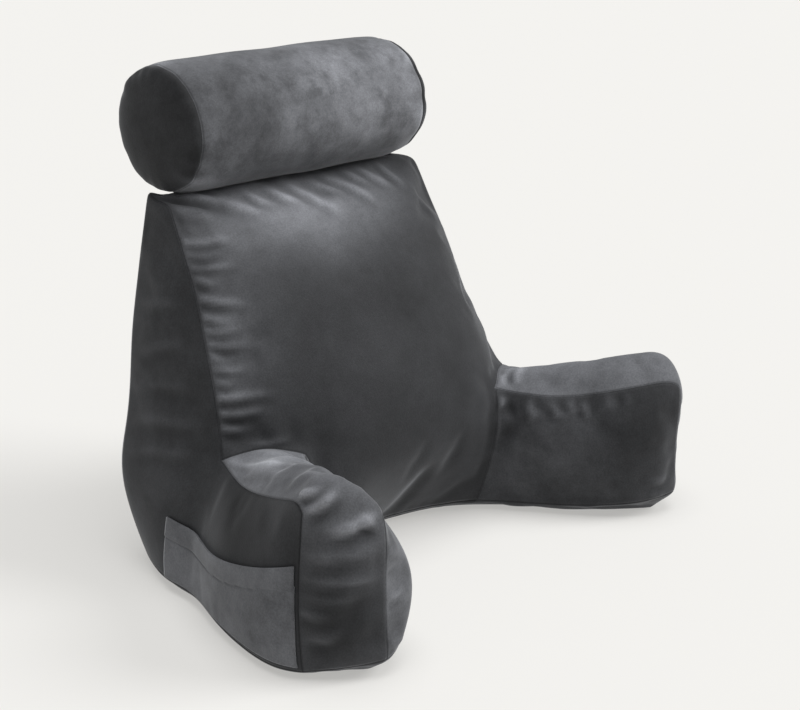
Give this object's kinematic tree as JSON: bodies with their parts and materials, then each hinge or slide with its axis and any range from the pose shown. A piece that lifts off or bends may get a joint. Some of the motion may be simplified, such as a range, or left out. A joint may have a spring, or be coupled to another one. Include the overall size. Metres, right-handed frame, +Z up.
{
  "type": "reading pillow",
  "caption": "Plush velvet backrest pillow with arms, a round neck roll on top and a side pocket on each arm, for sitting up in bed.",
  "frame": {"origin": "on the floor under the backrest's base, below the front panel's top edge, in the middle of the width", "axes": "+Z up, the pillow faces -Y, +X to the right seen from the front"},
  "size_m": [0.8371, 0.5995, 0.7048],
  "materials": {
    "body_velvet": "short-pile charcoal grey velvet, matt with a soft sheen towards its edges",
    "roll_velvet": "short-pile charcoal grey velvet, matt with a soft sheen towards its edges",
    "pocket_velvet": "short-pile charcoal grey velvet, matt with a soft sheen towards its edges"
  },
  "bodies": {
    "root": {"pillow_body": "body_velvet", "neck_roll": "roll_velvet", "pocket_left": "pocket_velvet", "pocket_right": "pocket_velvet"}
  },
  "joints": []
}
